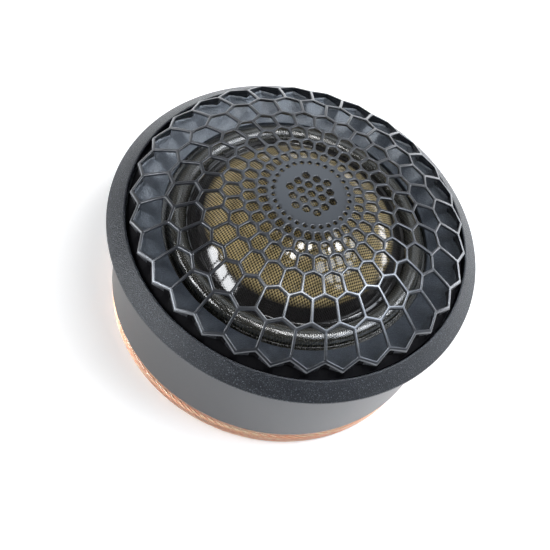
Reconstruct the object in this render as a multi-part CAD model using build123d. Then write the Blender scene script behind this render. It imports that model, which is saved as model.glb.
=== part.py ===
from build123d import *
import math
import os

# A car tweeter: a silk dome motor behind a domed honeycomb grille, held in a flush-mount cup,
# with its flat twin lead wound under the cup. Millimetres. The origin is at the bottom centre,
# +Z runs up the axis through the grille, and the magnet pot stands on z = 0.

# Flush-mount cup, from the ledge inside it outwards
ledge_drop = 1.75  # from the flange's inner edge down to the ledge that carries the insert
lip_thickness = 1.0
lip_reach = 0.8  # of the ledge's lip, in from the barrel's bore
barrel_wall = 1.35
throat_step = 0.5  # the flange's opening is this much wider than the barrel in radius
bevel_width = 2.25
bevel_drop = 2.35  # fall of the flange's bevel from its inner edge to its rim
rim_edge = 0.4  # height of the thin outer edge of the flange

# Clearances
fit = 0.05  # between pieces that slide together and are glued or clipped
groove = 0.25  # gap between the insert and the flange's opening
drop_in = 0.2  # round the motor, where it drops through the ledge
overcut = 1.0  # how far a cutting tool runs past what it cuts

# Grille: a spherical crown that runs into a tighter knuckle, cut by rows of cells
crown_radius = 69.1
knuckle_width = 13.2  # from the insert's edge in to where the knuckle meets the crown
edge_slope = 41.8  # degrees, of the face at the insert's edge
grille_thickness = 0.5
rib_width = 0.36
cells_per_row = 30
hex_rows = 6
row_growth = 1.266  # each row is this many times as far from the centre as the row inside it
apex_ratio = 1.056  # how far a cell's pointed end stands past its shoulders
point_lean = 22.0  # degrees between the zigzag's sides and the circle through its points
pinhole_radius = 0.27
patch_pitch = 1.45  # small cells in the middle of the crown
patch_cell = 1.0  # their width across flats
skirt_wall = 0.45
skirt_height = 0.4  # of the skirt at its points, above the waveguide's rim

# Waveguide: the scalloped ring under the grille's outer row
guide_rim = 2.25  # height of its round rim above the ledge
guide_spigot = 0.3  # how far its middle reaches down inside the ledge
guide_lip = 0.7  # thickness of its inner edge
scoop_radius = 3.2
scoop_margin = 0.6  # from a scoop's outer end to the insert's edge

# Diaphragm
coil_radius = 13.95  # inside of the voice coil former
former_wall = 0.12
winding_depth = 0.35
winding_height = 2.8
skin = 0.25  # thickness of the dome and surround
dome_height = 7.0
dome_bands = 6  # flat bands that stand for its curve
glue_land = 0.8  # flat ring where dome, surround and former are glued
roll_width = 2.4
roll_margin = 0.75  # between the roll and the waveguide's inner edge
roll_height = 2.0  # of the surround's half roll above its clamped edge
roll_bands = 6
rim_lift = 0.95  # of the dome's flat ring above the surround's clamped edge

# Motor
inner_gap = 0.3  # between shorting cap and former
outer_gap = 0.4  # between winding and pot
cap_wall = 0.22
plate_thickness = 3.0
magnet_thickness = 8.5
pot_base = 3.5
pot_wall = 2.4
magnet_step = 0.7  # the magnet is this much smaller than the plate in radius
pot_chamfer = 0.6
cap_window = 8.0  # hole in the top of the shorting cap
felt_radius = 9.5
felt_thickness = 2.0

# Chassis
gasket = 0.2
clamp_width = 1.5  # of the surround's clamped edge
chassis_wall = 2.63
chassis_deck = 2.5  # from the chassis top down to the pot's rim
chassis_height = 8.5
coil_window = 0.6  # room round the winding in the chassis deck
deck_slope = 1.2  # fall of the deck under the roll
clip_count = 3
clip_width = 4.0
clip_height = 1.6
clip_land = 0.4  # upright edge of a clip's nose
clip_reach = 0.55

# Terminals, at the back
terminal_angle = 81.0
lug_spread = 18.0  # degrees between the two lugs
board_span = 40.0  # degrees
board_thickness = 1.0
lug_width = 2.2
lug_length = 4.0
lug_thickness = 0.4
rivet_radius = 0.45
rivet_head = 0.75  # radius
rivet_head_height = 0.3
rivet_length = 2.6
rivet_offset = 1.1  # from the lug's middle
solder_radius = 0.9
solder_height = 0.75
braid_width = 0.6
braid_thickness = 0.3
braid_offset = 0.9  # from the lug's middle
braid_rise = 0.7  # of the lead-outs above the pot's rim
braid_gap = 0.25  # to the moving former

# Lead: flat twin, wound on edge in two turns round the pot
core_diameter = 1.8  # over one of its two insulated cores
strand_diameter = 0.9  # bare strands of one core
lead_clearance = 0.1
lead_inset = 0.3  # of the outer turn behind the barrel's face
lead_start = 58.0  # angle at which the jacket ends, beside the lugs
strand_gap = 1.0  # degrees from there to the bare strands
ramp_span = 110.0  # degrees over which the lead climbs out of the coil
lead_end = 104.0  # angle at which the outer turn ends
tail_gap = 38.0  # degrees left open in the outer turn beyond its end
tip_length = 5.0
saddle_span = 8.0  # degrees
saddle_margin = 1.0  # degrees from the saddle to the end of the jacket
saddle_wall = 0.6
saddle_rise = 1.0  # of the saddle's foot above the coil

# Heights
plate_bottom = pot_base + magnet_thickness
pot_top = plate_bottom + plate_thickness
chassis_top = pot_top + chassis_deck
chassis_bottom = chassis_top - chassis_height
surround_top = chassis_top + skin
land_top = surround_top + rim_lift
guide_underside = surround_top + gasket
ledge_top = guide_underside + guide_spigot
rim_top = ledge_top + guide_rim
face_height = ledge_top + ledge_drop
flange_underside = face_height - bevel_drop - rim_edge
board_bottom = chassis_bottom - board_thickness
lug_bottom = board_bottom - lug_thickness
strand_height = lug_bottom - solder_height - strand_diameter / 2
lead_crest = strand_height + core_diameter / 2
lead_height = 2 * core_diameter
barrel_bottom = lead_height + lead_clearance

# Radii
former_radius = coil_radius + former_wall
winding_radius = former_radius + winding_depth
cap_radius = coil_radius - inner_gap
plate_radius = cap_radius - cap_wall
pot_bore = winding_radius + outer_gap
pot_radius = pot_bore + pot_wall
motor_radius = pot_radius + fit + chassis_wall
lip_radius = motor_radius + drop_in
barrel_bore = lip_radius + lip_reach
barrel_radius = barrel_bore + barrel_wall
opening_radius = barrel_radius + throat_step
flange_radius = opening_radius + bevel_width
insert_radius = opening_radius - groove
land_radius = coil_radius + glue_land
roll_radius = land_radius + roll_width
guide_radius = roll_radius + roll_margin
clamp_radius = roll_radius + clamp_width
lead_outer = barrel_radius - lead_inset
lead_middle = lead_outer - core_diameter - lead_clearance / 2
lead_inner = lead_outer - 2 * core_diameter - lead_clearance
terminal_radius = (pot_radius + motor_radius) / 2
lug_angles = [terminal_angle - lug_spread / 2, terminal_angle + lug_spread / 2]

# The grille's outer face in section: crown centre on the axis, knuckle tangent to the crown
crown_edge = insert_radius - knuckle_width
crown_angle = math.asin(crown_edge / crown_radius)
edge_angle = math.radians(edge_slope)
knuckle_radius = knuckle_width / (math.sin(edge_angle) - math.sin(crown_angle))
knuckle_x = (crown_radius - knuckle_radius) * math.sin(crown_angle)
knuckle_z = rim_top + skirt_height - knuckle_radius * math.cos(edge_angle)
crown_centre = knuckle_z - (crown_radius - knuckle_radius) * math.cos(crown_angle)
grille_top = crown_centre + crown_radius


def arc_at(radius):
    """Length along the grille's face from its top to a distance from the axis."""
    if radius <= crown_edge:
        return crown_radius * math.asin(radius / crown_radius)
    turn = math.asin((radius - knuckle_x) / knuckle_radius)
    return crown_radius * crown_angle + knuckle_radius * (turn - crown_angle)


def radius_at(arc):
    """Distance from the axis at a length along the grille's face."""
    if arc <= crown_radius * crown_angle:
        return crown_radius * math.sin(arc / crown_radius)
    turn = crown_angle + (arc - crown_radius * crown_angle) / knuckle_radius
    return knuckle_x + knuckle_radius * math.sin(turn)


def polar(radius, angle):
    turn = math.radians(angle)
    return (radius * math.cos(turn), radius * math.sin(turn))


def turned(*outline, arc=360.0):
    """A solid turned about Z from (radius, height) points."""
    return revolve(Plane.XZ * make_face(Polyline(*outline, close=True)), Axis.Z, arc)


def banded(curve, bands):
    """Evenly spaced (radius, height) points along a curve."""
    points = [curve @ (i / bands) for i in range(bands + 1)]
    return [(point.X, point.Y) for point in points]


def ring(inner, outer, bottom, top):
    return turned((inner, bottom), (outer, bottom), (outer, top), (inner, top))


def disc(radius, bottom, top):
    return turned((0, bottom), (radius, bottom), (radius, top), (0, top))


def sector(inner, outer, bottom, top, start, end):
    """The part of a ring between two angles."""
    piece = turned((inner, bottom), (outer, bottom), (outer, top), (inner, top), arc=end - start)
    return Rot(0, 0, start) * piece


def copies(piece, count, start=0.0):
    """A piece repeated evenly round Z."""
    return [Rot(0, 0, start + 360 * i / count) * piece for i in range(count)]


# Grille ------------------------------------------------------------------------------------
half_step = 180 / cells_per_row
tip_arc = arc_at(insert_radius - rib_width / 2 / math.cos(math.radians(point_lean)))
shoulder_arc = tip_arc / apex_ratio  # outer shoulders of the outermost row


def row_shoulder(row):
    """Length along the face to the outer shoulders of a row, the outermost being row 0."""
    return shoulder_arc / row_growth**row


def cell(row):
    """A hole of one row in plan, centred on the X axis: six sides, less half a rib all round."""
    inner_apex = radius_at(row_shoulder(row + 1))
    inner_shoulder = radius_at(row_shoulder(row + 1) * apex_ratio)
    outer_shoulder = radius_at(row_shoulder(row))
    outer_apex = radius_at(row_shoulder(row) * apex_ratio)
    corners = [
        (inner_apex, 0),
        polar(inner_shoulder, half_step),
        polar(outer_shoulder, half_step),
        (outer_apex, 0),
        polar(outer_shoulder, -half_step),
        polar(inner_shoulder, -half_step),
    ]
    hexagon = make_face(Polyline(*corners, close=True))
    return offset(hexagon, -rib_width / 2, kind=Kind.INTERSECTION)


def zigzag(margin):
    """The insert's pointed outline in plan, moved out by a margin."""
    tip = radius_at(tip_arc)
    valley = radius_at(shoulder_arc)
    corners = []
    for i in range(cells_per_row):
        corners.append(polar(tip, 2 * half_step * i))
        corners.append(polar(valley, 2 * half_step * (i + 0.5)))
    return offset(make_face(Polyline(*corners, close=True)), margin, kind=Kind.INTERSECTION)


def face_point(turn, depth):
    """A point of the grille's section a depth below its face, by the slope angle of the face there."""
    if turn <= crown_angle:
        radius = crown_radius - depth
        return (radius * math.sin(turn), crown_centre + radius * math.cos(turn))
    radius = knuckle_radius - depth
    return (knuckle_x + radius * math.sin(turn), knuckle_z + radius * math.cos(turn))


def grille_body(depth, bottom):
    """Everything under the grille's face, a depth below it, down to a height."""
    reach = insert_radius + overcut / 2
    end = math.asin((reach - knuckle_x) / (knuckle_radius - depth))
    turns = [0, crown_angle / 2] + [crown_angle + (end - crown_angle) * i / 4 for i in range(5)]
    points = [face_point(turn, depth) for turn in turns]
    face = Spline(*points, tangents=[(1, 0), (math.cos(end), -math.sin(end))])
    section = Polyline(points[-1], (reach, bottom), (0, bottom), points[0])
    return revolve(Plane.XZ * make_face([face, section]), Axis.Z)


def cell_pattern():
    """Every hole of the grille in plan."""
    holes = []
    for row in range(hex_rows):
        holes += copies(cell(row), cells_per_row, half_step * (row % 2))
    pinhole_row = (row_shoulder(hex_rows) + row_shoulder(hex_rows + 1) * apex_ratio) / 2
    pinhole = Pos(radius_at(pinhole_row), 0) * RegularPolygon(pinhole_radius, 6)
    holes += copies(pinhole, cells_per_row, half_step * (hex_rows % 2))
    small = RegularPolygon(patch_cell / 2, 6, major_radius=False, rotation=30)
    holes.append(small)
    holes += [Pos(*polar(patch_pitch, 60 * i)) * small for i in range(6)]
    holes += [Pos(*polar(2 * patch_pitch, 60 * i)) * small for i in range(6)]
    holes += [Pos(*polar(3**0.5 * patch_pitch, 60 * i + 30)) * small for i in range(6)]
    return holes


def upright(outline):
    """An outline in plan, drawn up from the waveguide's rim past the top of the grille."""
    return Pos(0, 0, rim_top) * extrude(outline, grille_top + overcut - rim_top)


def grille():
    """Pierced shell with a zigzag skirt down to the waveguide's rim."""
    inside = grille_body(grille_thickness, rim_top - overcut) & upright(zigzag(rib_width / 2 - skirt_wall))
    holes = upright(Sketch() + cell_pattern())
    return grille_body(0, rim_top) & upright(zigzag(rib_width / 2)) - inside - holes


# Cup and waveguide -------------------------------------------------------------------------
def mounting_cup():
    """Bevelled flange, plain barrel, and an inner ledge with a lip that the insert clips behind."""
    lip_underside = ledge_top - lip_thickness
    return turned(
        (barrel_bore, barrel_bottom),
        (barrel_radius, barrel_bottom),
        (barrel_radius, flange_underside),
        (flange_radius, flange_underside),
        (flange_radius, flange_underside + rim_edge),
        (opening_radius, face_height),
        (opening_radius, ledge_top),
        (lip_radius, ledge_top),
        (lip_radius, lip_underside),
        (barrel_bore, lip_underside),
    )


def waveguide():
    """Cone up to a round rim, with one shallow scoop under each cell of the grille's outer row."""
    lip_top = guide_underside + guide_lip
    valley = radius_at(shoulder_arc) - skirt_wall
    cone = turned(
        (guide_radius, guide_underside),
        (motor_radius, guide_underside),
        (motor_radius, ledge_top),
        (insert_radius, ledge_top),
        (insert_radius, rim_top),
        (valley, rim_top),
        (guide_radius, lip_top),
    )
    run = insert_radius - scoop_margin - guide_radius
    rise = rim_top - lip_top
    slope = math.atan2(rise, run)
    lift = scoop_radius / math.cos(slope)
    scoop = Rot(0, 90 - math.degrees(slope), 0) * Cylinder(scoop_radius, 3 * run)
    scoop = Pos(guide_radius + run / 2, 0, lip_top + rise / 2 + lift) * scoop
    return cone - copies(scoop, cells_per_row)


# Diaphragm ---------------------------------------------------------------------------------
def dome():
    """Thin spherical cap on a flat glue ring."""
    rise = dome_height - skin
    edge = coil_radius + skin
    outside = (edge**2 + rise**2) / (2 * rise)
    centre = land_top + dome_height - outside
    spread = math.degrees(math.asin(edge / outside))
    inside_spread = math.degrees(math.acos((land_top - centre) / (outside - skin)))
    top = banded(CenterArc((0, centre), outside, 90, -spread), dome_bands)
    underside = banded(CenterArc((0, centre), outside - skin, 90, -inside_spread), dome_bands)
    return turned(*top, (land_radius, land_top + skin), (land_radius, land_top), *reversed(underside))


def surround():
    """Half roll between the glued ring at the dome and the edge that the chassis clamps."""
    crest_radius = (land_radius + roll_radius) / 2
    crest = surround_top + roll_height
    top = ThreePointArc((land_radius, land_top), (crest_radius, crest), (roll_radius, surround_top))
    underside = ThreePointArc(
        (land_radius + skin, land_top - skin),
        (crest_radius, crest - skin),
        (roll_radius - skin, chassis_top),
    )
    return turned(
        (coil_radius, land_top),
        *banded(top, roll_bands),
        (clamp_radius, surround_top),
        (clamp_radius, chassis_top),
        *reversed(banded(underside, roll_bands)),
        (coil_radius, land_top - skin),
    )


def voice_coil_former():
    """Thin tube from the surround's glued ring down past the winding."""
    bottom = (plate_bottom + pot_top - winding_height) / 2 - former_wall
    return ring(coil_radius, former_radius, bottom, land_top - skin)


def voice_coil_winding():
    """Wire pack centred on the height of the pole plate."""
    bottom = (plate_bottom + pot_top - winding_height) / 2
    return ring(former_radius, winding_radius, bottom, bottom + winding_height)


# Motor -------------------------------------------------------------------------------------
def yoke_pot():
    return turned(
        (0, 0),
        (pot_radius - pot_chamfer, 0),
        (pot_radius, pot_chamfer),
        (pot_radius, pot_top),
        (pot_bore, pot_top),
        (pot_bore, pot_base),
        (0, pot_base),
    )


def magnet():
    return disc(plate_radius - magnet_step, pot_base, plate_bottom)


def pole_plate():
    return disc(plate_radius, plate_bottom, pot_top)


def shorting_cap():
    """Thin copper cap that wraps the pole plate's rim and leaves its middle open."""
    return turned(
        (plate_radius, plate_bottom),
        (cap_radius, plate_bottom),
        (cap_radius, pot_top + cap_wall),
        (cap_window, pot_top + cap_wall),
        (cap_window, pot_top),
        (plate_radius, pot_top),
    )


def felt_pad():
    return disc(felt_radius, pot_top + cap_wall, pot_top + cap_wall + felt_thickness)


# Chassis -----------------------------------------------------------------------------------
def at_lug(angle, across, height):
    """A place on the terminals' circle, measured across from a lug's middle."""
    return Rot(0, 0, angle) * Pos(terminal_radius, across, height)


def chassis_ring():
    """Moulded ring round the pot, with a deck that clamps the surround and clips for the cup's lip."""
    window = winding_radius + coil_window
    deck_edge = chassis_top - deck_slope
    body = turned(
        (pot_radius + fit, chassis_bottom),
        (motor_radius, chassis_bottom),
        (motor_radius, guide_underside),
        (clamp_radius + fit, guide_underside),
        (clamp_radius + fit, chassis_top),
        (roll_radius, chassis_top),
        (window, deck_edge),
        (window, pot_top),
        (pot_radius + fit, pot_top),
    )
    clip_top = ledge_top - lip_thickness - fit
    nose = Polyline(
        (motor_radius - fit, clip_top),
        (motor_radius + clip_reach, clip_top),
        (motor_radius + clip_reach, clip_top - clip_land),
        (motor_radius - fit, clip_top - clip_height),
        close=True,
    )
    clip = extrude(Plane.XZ * make_face(nose), clip_width / 2, both=True)
    body += copies(clip, clip_count, terminal_angle + 180 / clip_count)
    for angle in lug_angles:
        body -= braid(angle, fit) + rivet(angle, fit)
    return body


def gasket_ring():
    return ring(guide_radius, clamp_radius, surround_top, guide_underside)


# Terminals ---------------------------------------------------------------------------------
def braid(angle, margin=0.0):
    """Flat lead-out from beside the former, through the chassis, down to the underside of a lug."""
    inner = former_radius + braid_gap
    height = pot_top + braid_rise
    across = Box(terminal_radius - inner, braid_width + 2 * margin, braid_thickness + 2 * margin)
    down = Box(
        braid_thickness + 2 * margin,
        braid_width + 2 * margin,
        height + braid_thickness / 2 + margin - lug_bottom,
        align=(Align.CENTER, Align.CENTER, Align.MIN),
    )
    across = Pos((inner - terminal_radius) / 2, 0, height) * across
    return at_lug(angle, braid_offset, 0) * across + at_lug(angle, braid_offset, lug_bottom) * down


def rivet(angle, margin=0.0):
    """Shank through lug and board into the chassis, with its head under the lug."""
    up = (Align.CENTER, Align.CENTER, Align.MIN)
    shank = Cylinder(rivet_radius + margin, rivet_length + margin, align=up)
    head = Pos(0, 0, -rivet_head_height) * Cylinder(rivet_head, rivet_head_height, align=up)
    return at_lug(angle, -rivet_offset, lug_bottom) * (shank + head)


def terminal_board():
    half = board_span / 2
    board = sector(
        pot_radius + fit,
        motor_radius,
        board_bottom,
        chassis_bottom,
        terminal_angle - half,
        terminal_angle + half,
    )
    for angle in lug_angles:
        board -= braid(angle, fit) + rivet(angle, fit)
    return board


def solder_lugs():
    lugs = []
    for angle in lug_angles:
        lug = Box(lug_width, lug_length, lug_thickness, align=(Align.CENTER, Align.CENTER, Align.MAX))
        lugs.append(at_lug(angle, 0, board_bottom) * lug - braid(angle, fit) - rivet(angle, fit))
    return lugs


def solder_joints():
    joints = []
    for angle in lug_angles:
        cone = Cone(strand_diameter / 2, solder_radius, solder_height)
        joints.append(at_lug(angle, braid_offset, lug_bottom - solder_height / 2) * cone)
    return joints


def lead_out_braids():
    return [braid(angle) for angle in lug_angles]


def rivets():
    return [rivet(angle) for angle in lug_angles]


# Lead --------------------------------------------------------------------------------------
def rod(start, end, radius):
    """A straight round bar between two points."""
    run = Vector(end) - Vector(start)
    return extrude(Plane(start, z_dir=run) * Circle(radius), run.length)


def stripped_ends():
    """Bare strands from the end of the jacket to the two solder joints."""
    radius = strand_diameter / 2
    middle = (lead_inner + lead_middle) / 2
    ends = []
    for i, angle in enumerate(lug_angles):
        joint = at_lug(angle, braid_offset, strand_height).position
        start = (*polar(middle, lead_start + strand_gap), strand_height - i * core_diameter)
        ends.append(rod(start, joint, radius))
    return ends


def lead_coil():
    """Outer shape of the wound lead: two turns on edge, and the ramp that climbs to the saddle."""
    turns = ring(lead_inner, lead_outer, 0, lead_height)
    tail = lead_end - tail_gap
    turns -= sector(lead_middle, lead_outer + overcut, -overcut, lead_height + overcut, tail, lead_end)
    foot = lead_start - ramp_span
    ramp = sector(lead_inner, lead_middle, lead_height, lead_crest, foot, lead_start)
    low = Vector(*polar(lead_middle, foot), lead_height)
    high = Vector(*polar(lead_middle, lead_start), lead_crest)
    climb = high - low
    across = Vector(climb.Y, -climb.X, 0)
    slope = Plane(low, x_dir=climb, z_dir=across.cross(climb))
    return turns + split(ramp, slope, Keep.BOTTOM)


def tinned_tips():
    """Bare strands of both cores beyond the end of the outer turn."""
    tips = []
    for height in (core_diameter / 2, 3 * core_diameter / 2):
        turn = Rot(0, 0, lead_end)
        strand = Cylinder(strand_diameter / 2, tip_length, align=(Align.CENTER, Align.CENTER, Align.MIN))
        tips.append(turn * Pos(lead_outer - core_diameter / 2, 0, height) * Rot(90, 0, 0) * strand)
    return tips


def lead_saddle():
    """Clip under the chassis that the lead passes through on its way to the lugs."""
    end = lead_start - saddle_margin
    start = end - saddle_span
    foot = lead_height + saddle_rise
    body = sector(lead_inner - saddle_wall, lead_middle + saddle_wall, foot, chassis_bottom, start, end)
    gate = ring(lead_inner - fit, lead_middle + fit, 0, lead_crest + fit)
    return body - gate


pieces = {
    "mounting_cup": mounting_cup(),
    "grille": grille(),
    "waveguide": waveguide(),
    "gasket_ring": gasket_ring(),
    "chassis_ring": chassis_ring(),
    "surround": surround(),
    "dome": dome(),
    "voice_coil_former": voice_coil_former(),
    "voice_coil_winding": voice_coil_winding(),
    "yoke_pot": yoke_pot(),
    "magnet": magnet(),
    "pole_plate": pole_plate(),
    "shorting_cap": shorting_cap(),
    "felt_pad": felt_pad(),
    "terminal_board": terminal_board(),
    "solder_lugs": solder_lugs(),
    "rivets": rivets(),
    "lead_out_braids": lead_out_braids(),
    "solder_joints": solder_joints(),
    "stripped_ends": stripped_ends(),
    "lead_saddle": lead_saddle(),
    "lead_coil": lead_coil(),
    "tinned_tips": tinned_tips(),
}
os.makedirs("parts", exist_ok=True)
for name, piece in pieces.items():
    if isinstance(piece, list):
        piece = Compound(piece)
    export_step(piece, f"parts/{name}.step")
    print(name, round(piece.volume, 3))
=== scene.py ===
import math

import bmesh
import bpy
import numpy as np
from mathutils import Matrix, Vector, geometry


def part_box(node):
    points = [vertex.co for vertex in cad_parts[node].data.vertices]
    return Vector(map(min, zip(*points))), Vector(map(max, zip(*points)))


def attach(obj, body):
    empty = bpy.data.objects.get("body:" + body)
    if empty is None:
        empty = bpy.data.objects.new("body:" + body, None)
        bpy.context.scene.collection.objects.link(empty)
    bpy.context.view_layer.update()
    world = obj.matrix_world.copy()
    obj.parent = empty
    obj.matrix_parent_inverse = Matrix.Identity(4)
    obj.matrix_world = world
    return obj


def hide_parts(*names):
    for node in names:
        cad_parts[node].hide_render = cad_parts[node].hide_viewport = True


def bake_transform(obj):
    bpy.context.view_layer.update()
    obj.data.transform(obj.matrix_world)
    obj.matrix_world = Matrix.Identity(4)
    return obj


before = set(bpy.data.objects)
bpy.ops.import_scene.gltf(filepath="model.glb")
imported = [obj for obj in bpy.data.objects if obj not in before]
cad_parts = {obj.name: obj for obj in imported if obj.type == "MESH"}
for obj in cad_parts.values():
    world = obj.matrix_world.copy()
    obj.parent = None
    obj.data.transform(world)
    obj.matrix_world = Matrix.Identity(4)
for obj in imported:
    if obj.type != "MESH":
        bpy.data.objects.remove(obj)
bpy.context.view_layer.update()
mm = 0.001
sameSpot = 0.0008 * mm  # points closer than this become one
tinyEdge = 0.0002 * mm

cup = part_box("mounting_cup")
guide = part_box("waveguide")
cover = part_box("grille")
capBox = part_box("dome")
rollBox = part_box("surround")
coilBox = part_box("lead_coil")
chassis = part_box("chassis_ring")
flangeTop = cup[1].z
rimTop = cover[0].z
insertRadius = guide[1].x
print("frame loaded")


def makePiece(name, points, faces, body, smoothAngle=40):
    mesh = bpy.data.meshes.new(name)
    mesh.from_pydata([tuple(p) for p in points], [], faces)
    work = bmesh.new()
    work.from_mesh(mesh)
    bmesh.ops.remove_doubles(work, verts=work.verts, dist=sameSpot)
    bmesh.ops.dissolve_degenerate(work, edges=work.edges, dist=tinyEdge)
    bmesh.ops.recalc_face_normals(work, faces=work.faces)
    work.to_mesh(mesh)
    work.free()
    mesh.shade_smooth()
    mesh.set_sharp_from_angle(angle=math.radians(smoothAngle))
    piece = bpy.data.objects.new(name, mesh)
    bpy.context.collection.objects.link(piece)
    if body:
        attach(piece, body)
    return piece


def rounded(outline, steps=4):
    # outline: (radius, height, fillet) corners in order
    points = []
    count = len(outline)
    for i, (r, z, fillet) in enumerate(outline):
        here = Vector((r, z))
        back = (Vector(outline[i - 1][:2]) - here).normalized()
        ahead = (Vector(outline[(i + 1) % count][:2]) - here).normalized()
        half = back.angle(ahead) / 2
        cut = fillet / math.tan(half)
        centre = here + (back + ahead).normalized() * fillet / math.sin(half)
        first = here + back * cut - centre
        last = here + ahead * cut - centre
        for k in range(steps + 1):
            arm = first.lerp(last, k / steps).normalized() * fillet
            points.append(centre + arm)
    return points


def gridFaces(rows, across, closedRows, closedAcross):
    # faces between rows of points; either way may close on itself
    faces = []
    for k in range(rows if closedRows else rows - 1):
        here, there = k * across, (k + 1) % rows * across
        for i in range(across if closedAcross else across - 1):
            n = (i + 1) % across
            faces.append((here + i, here + n, there + n, there + i))
    return faces


def turn(outline, segments, closed=True):
    # points and faces of a shape turned round the axis
    points = []
    for s in range(segments):
        a = 2 * math.pi * s / segments
        points += [(p[0] * math.cos(a), p[0] * math.sin(a), p[1]) for p in outline]
    return points, gridFaces(segments, len(outline), True, closed)


def copyRound(points, faces, count, start=0.0):
    # the same points and faces repeated round the axis
    flat = np.array(points)
    allPoints, allFaces = [], []
    for i in range(count):
        a = math.radians(start) + 2 * math.pi * i / count
        c, s = math.cos(a), math.sin(a)
        x = flat[:, 0] * c - flat[:, 1] * s
        y = flat[:, 0] * s + flat[:, 1] * c
        allPoints += list(zip(x, y, flat[:, 2]))
        allFaces += [tuple(v + i * len(flat) for v in face) for face in faces]
    return allPoints, allFaces


def joinParts(parts):
    points, faces = [], []
    for partPoints, partFaces in parts:
        faces += [tuple(v + len(points) for v in face) for face in partFaces]
        points += list(partPoints)
    return points, faces


def makeFinish(name, colour, roughness, **sockets):
    material = bpy.data.materials.new(name)
    material.use_nodes = True
    shader = material.node_tree.nodes["Principled BSDF"]
    shader.inputs["Base Color"].default_value = (*colour, 1)
    shader.inputs["Roughness"].default_value = roughness
    for socket, value in sockets.items():
        shader.inputs[socket.replace("_", " ")].default_value = value
    return material


def addNode(material, kind, wires=(), **values):
    node = material.node_tree.nodes.new(kind)
    for key, value in values.items():
        setattr(node, key, value)
    for socket, source in wires:
        if isinstance(source, bpy.types.NodeSocket):
            material.node_tree.links.new(source, node.inputs[socket])
        else:
            node.inputs[socket].default_value = source
    return node


def maths(material, operation, *values):
    return addNode(material, "ShaderNodeMath", enumerate(values), operation=operation).outputs[0]


def place(material):
    # where a point of the surface is, in metres
    return addNode(material, "ShaderNodeTexCoord").outputs["Object"]


def grain(material, size, detail, spot=None):
    spot = place(material) if spot is None else spot
    wires = [("Vector", spot), ("Scale", 1 / size), ("Detail", detail)]
    return addNode(material, "ShaderNodeTexNoise", wires).outputs["Fac"]


def heightOf(material):
    return addNode(material, "ShaderNodeSeparateXYZ", [(0, place(material))]).outputs[2]


def blendColours(material, factor, first, second):
    wires = [(0, factor)]
    for socket, source in ((6, first), (7, second)):
        wires.append((socket, (*source, 1) if isinstance(source, tuple) else source))
    return addNode(material, "ShaderNodeMix", wires, data_type="RGBA").outputs[2]


def spread(material, value, low, high, newLow=0.0, newHigh=1.0):
    wires = [("Value", value), ("From Min", low), ("From Max", high), ("To Min", newLow), ("To Max", newHigh)]
    return addNode(material, "ShaderNodeMapRange", wires).outputs[0]


def shaderOf(material):
    return material.node_tree.nodes["Principled BSDF"]


def wire(material, source, socket):
    material.node_tree.links.new(source, shaderOf(material).inputs[socket])


def polish(material, values):
    # the shine and the clear coat that a piece's values ask for
    sockets = shaderOf(material).inputs
    sockets["Specular IOR Level"].default_value = values["shine"]
    sockets["Specular Tint"].default_value = (*values["tint"], 1)
    sockets["Coat Weight"].default_value = values["coat"]
    sockets["Coat Roughness"].default_value = values["roughness"]
    sockets["Coat IOR"].default_value = values["coatIndex"]


def addBump(material, height, depth, under=None, socket="Normal"):
    wires = [("Height", height), ("Distance", depth)]
    if under:
        wires.append(("Normal", under))
    bump = addNode(material, "ShaderNodeBump", wires).outputs[0]
    wire(material, bump, socket)
    return bump


satinSet = {
    "grain": 0.3 * mm,
    "depth": 0.003 * mm,
}


def satinFinish(name, colour, roughness):
    # a plain finish with a faint unevenness
    finish = makeFinish(name, colour, roughness)
    addBump(finish, grain(finish, satinSet["grain"], 2), satinSet["depth"])
    return finish


def dress(name, material):
    # a finish for a piece, or for a CAD node that keeps its own shape
    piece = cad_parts.get(name) or bpy.data.objects[name]
    piece.data.materials.clear()
    piece.data.materials.append(material)


# camera and light

cameraSet = {
    "distance": 240.2 * mm,  # to the middle of the flange's opening
    "turn": -2.5,  # degrees round the tweeter
    "elevation": 53.48,
    "roll": 22.21,
    "panRight": 0.728,
    "panUp": 1.524,
    "lens": 119.9,
    "sensor": 36,
    "near": 0.01,
    "far": 10,
}


def makeCamera(values):
    data = bpy.data.cameras.new("camera")
    data.lens = values["lens"]
    data.sensor_width = values["sensor"]
    data.clip_start = values["near"]
    data.clip_end = values["far"]
    camera = bpy.data.objects.new("camera", data)
    bpy.context.collection.objects.link(camera)
    tilt = math.radians(90 - values["elevation"])
    pose = Matrix.Rotation(math.radians(values["turn"]), 4, "Z") @ Matrix.Rotation(tilt, 4, "X")
    pose = pose @ Matrix.Translation((0, 0, values["distance"]))
    pose = pose @ Matrix.Rotation(math.radians(values["roll"]), 4, "Z")
    pose = pose @ Matrix.Rotation(math.radians(values["panRight"]), 4, "Y")
    pose = pose @ Matrix.Rotation(math.radians(-values["panUp"]), 4, "X")
    camera.matrix_world = Matrix.Translation((0, 0, flangeTop)) @ pose
    bpy.context.scene.camera = camera


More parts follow.
